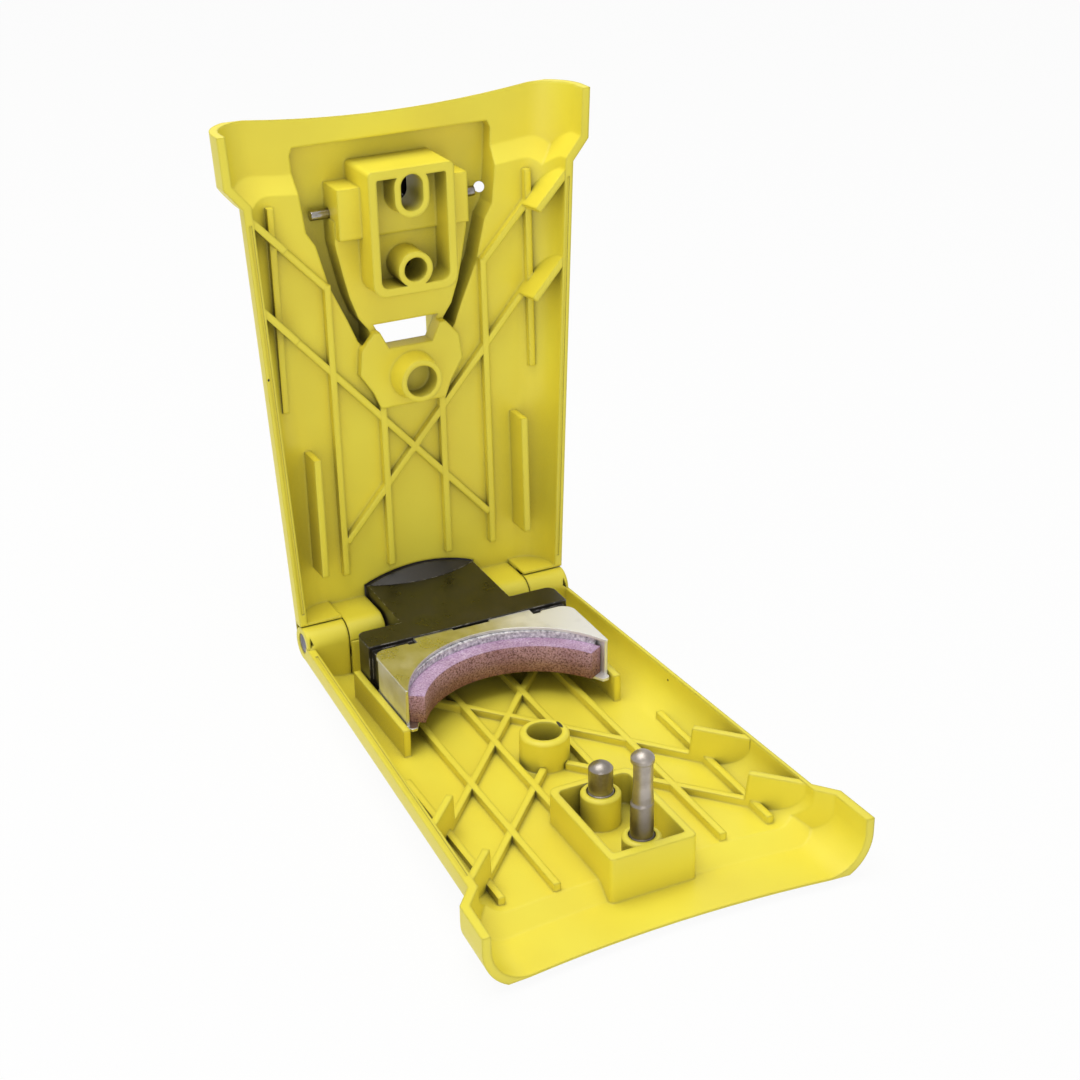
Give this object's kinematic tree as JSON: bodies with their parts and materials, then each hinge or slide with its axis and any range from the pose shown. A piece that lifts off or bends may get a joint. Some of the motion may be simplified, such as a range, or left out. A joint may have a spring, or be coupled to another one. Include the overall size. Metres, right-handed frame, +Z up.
{
  "type": "chainsaw sharpener",
  "caption": "Yellow clamshell sharpener with a black push sled, a curved stone in an aluminium holder, locator pins and a latch in the hinged cover",
  "frame": {"origin": "middle of the bottom of the part's box, with the part standing open on its base", "axes": "+X along the hinge to the right, +Y from the lip towards the hinge, +Z up"},
  "size_m": [0.1084, 0.1793, 0.1633],
  "materials": {
    "yellow_plastic": "moulded, satin",
    "black_plastic": "moulded, smooth",
    "sheet_aluminium": "rolled sheet, bright",
    "grey_bond": "rough bonding layer",
    "abrasive": "coarse pinkish brown abrasive stone",
    "pin_steel": "turned steel",
    "bright_steel": "polished wire and pin",
    "dark_steel": "blackened sheet steel"
  },
  "bodies": {
    "base": {"base_shell": "yellow_plastic", "hinge_pin_left": "pin_steel", "hinge_pin_right": "pin_steel", "long_locator_pin": "pin_steel", "short_locator_pin": "pin_steel"},
    "cover": {"cover_shell": "yellow_plastic", "latch_cross_pin": "bright_steel", "latch_spring": "bright_steel"},
    "latch": {"latch_lever": "dark_steel"},
    "sled": {"push_sled": "black_plastic", "press_pad": "black_plastic", "stone_holder": "sheet_aluminium", "stone_bond": "grey_bond", "grinding_stone": "abrasive"}
  },
  "joints": [
    {"name": "cover_hinge", "type": "hinge", "parent": "base", "child": "cover", "pos_m": [0, 0.06092, 0.01333], "axis": [1, 0, 0], "range_deg": [0, 91.4]},
    {"name": "sled_push", "type": "slide", "parent": "base", "child": "sled", "axis": [0, -0.9996, 0.0267], "range_m": [0, 0.005], "stiffness_N_per_m": 900, "springref_m": -0.001},
    {"name": "latch_turn", "type": "hinge", "parent": "cover", "child": "latch", "pos_m": [0, 0.08342, 0.13342], "axis": [1, 0, 0], "range_deg": [0, 15], "stiffness_Nm_per_rad": 0.15, "springref_deg": -11.46}
  ]
}
